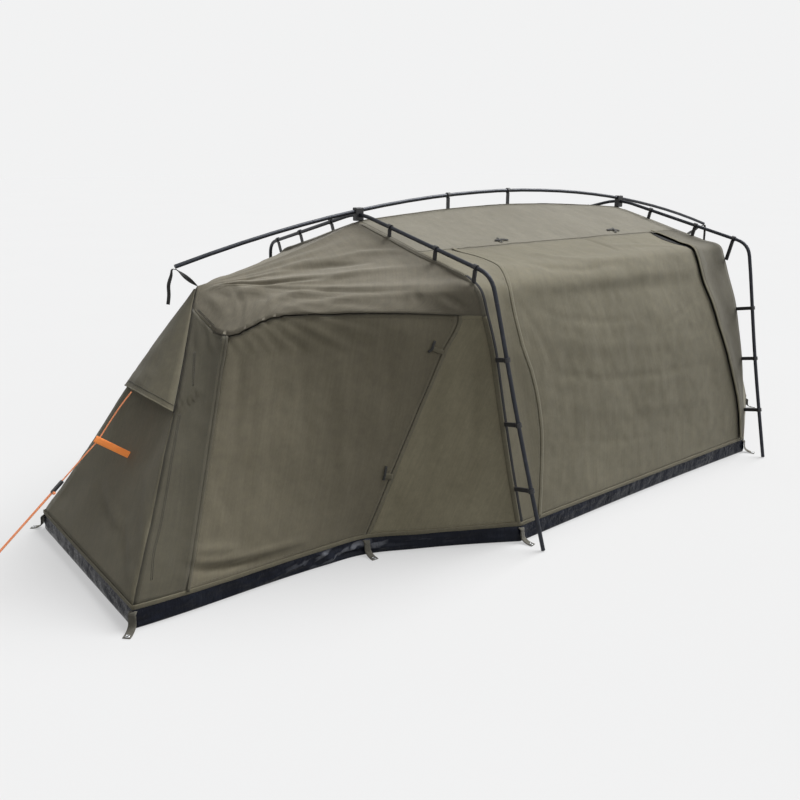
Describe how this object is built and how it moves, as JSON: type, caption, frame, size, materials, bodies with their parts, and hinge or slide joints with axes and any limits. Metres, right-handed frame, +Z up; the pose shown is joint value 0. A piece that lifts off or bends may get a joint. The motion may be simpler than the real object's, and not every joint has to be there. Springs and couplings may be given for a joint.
{
  "type": "swag bedroll",
  "caption": "Pitched canvas swag: low ridge tent on two bent hoops and a ridge pole, with a tapered foot vestibule, vinyl tub floor and foam mattress.",
  "frame": {"origin": "on the flat underside of the floor tub, on its long middle line", "axes": "+Z up, +X from the foot end with the vestibule to the head end, -Y the side with the vestibule door"},
  "size_m": [3.2514, 1.4838, 0.962],
  "materials": {
    "canvas": "woven polyester-cotton canvas, matt",
    "roof_canvas": "woven polyester-cotton canvas, matt",
    "tub_vinyl": "coated sheet, satin with soft creases",
    "pole_alloy": "dark anodised alloy tube, satin",
    "clip_plastic": "moulded, matt",
    "black_webbing": "woven webbing, matt",
    "orange_webbing": "woven webbing, matt",
    "orange_cord": "braided cord",
    "mattress_cover": "knitted cover over foam"
  },
  "bodies": {
    "swag": {"end_crown_clip_far_1": "clip_plastic", "end_crown_clip_far_2": "clip_plastic", "end_crown_clip_far_3": "clip_plastic", "end_crown_clip_near_1": "clip_plastic", "end_crown_clip_near_2": "clip_plastic", "end_crown_clip_near_3": "clip_plastic", "end_hoop_crown": "pole_alloy", "end_hoop_hub": "clip_plastic", "end_hoop_leg_far": "pole_alloy", "end_hoop_leg_near": "pole_alloy", "end_leg_clip_far_1": "clip_plastic", "end_leg_clip_far_2": "clip_plastic", "end_leg_clip_far_3": "clip_plastic", "end_leg_clip_near_1": "clip_plastic", "end_leg_clip_near_2": "clip_plastic", "end_leg_clip_near_3": "clip_plastic", "floor_tub": "tub_vinyl", "foot_end_panel": "canvas", "front_flap_far": "canvas", "front_flap_near": "canvas", "guy_knot": "orange_cord", "guy_rope": "orange_cord", "guy_tab": "orange_webbing", "guy_tensioner": "clip_plastic", "head_end_panel": "canvas", "head_shell": "canvas", "main_roof": "roof_canvas", "mattress": "mattress_cover", "mid_crown_clip_far_1": "clip_plastic", "mid_crown_clip_far_2": "clip_plastic", "mid_crown_clip_far_3": "clip_plastic", "mid_crown_clip_near_1": "clip_plastic", "mid_crown_clip_near_2": "clip_plastic", "mid_crown_clip_near_3": "clip_plastic", "mid_hoop_crown": "pole_alloy", "mid_hoop_hub": "clip_plastic", "mid_hoop_leg_far": "pole_alloy", "mid_hoop_leg_near": "pole_alloy", "mid_leg_clip_far_1": "clip_plastic", "mid_leg_clip_far_2": "clip_plastic", "mid_leg_clip_far_3": "clip_plastic", "mid_leg_clip_near_1": "clip_plastic", "mid_leg_clip_near_2": "clip_plastic", "mid_leg_clip_near_3": "clip_plastic", "rear_flap_far": "canvas", "rear_flap_near": "canvas", "ridge_clip_1": "clip_plastic", "ridge_clip_2": "clip_plastic", "ridge_pole_front": "pole_alloy", "ridge_pole_rear": "pole_alloy", "ridge_strap_front": "black_webbing", "ridge_strap_rear": "black_webbing", "vent_hood": "canvas", "vestibule_roof": "roof_canvas", "vestibule_side_near": "canvas", "vestibule_storm_flap": "canvas", "vestibule_wall_far": "canvas"},
    "near_door": {"main_door_near": "canvas"},
    "far_door": {"main_door_far": "canvas"},
    "vestibule_flap": {"vestibule_door": "canvas"}
  },
  "joints": [
    {"name": "near_door_swing", "type": "hinge", "parent": "swag", "child": "near_door", "pos_m": [-0.42603, -0.28166, 0.80029], "axis": [-1, 0, 0], "range_deg": [0, 100]},
    {"name": "far_door_swing", "type": "hinge", "parent": "swag", "child": "far_door", "pos_m": [-0.42603, 0.28166, 0.80029], "axis": [1, 0, 0], "range_deg": [0, 100]},
    {"name": "vestibule_door_swing", "type": "hinge", "parent": "swag", "child": "vestibule_flap", "pos_m": [-0.743, -0.439, 0.055], "axis": [0.4247, -0.0846, 0.9014], "range_deg": [0, 32]}
  ]
}
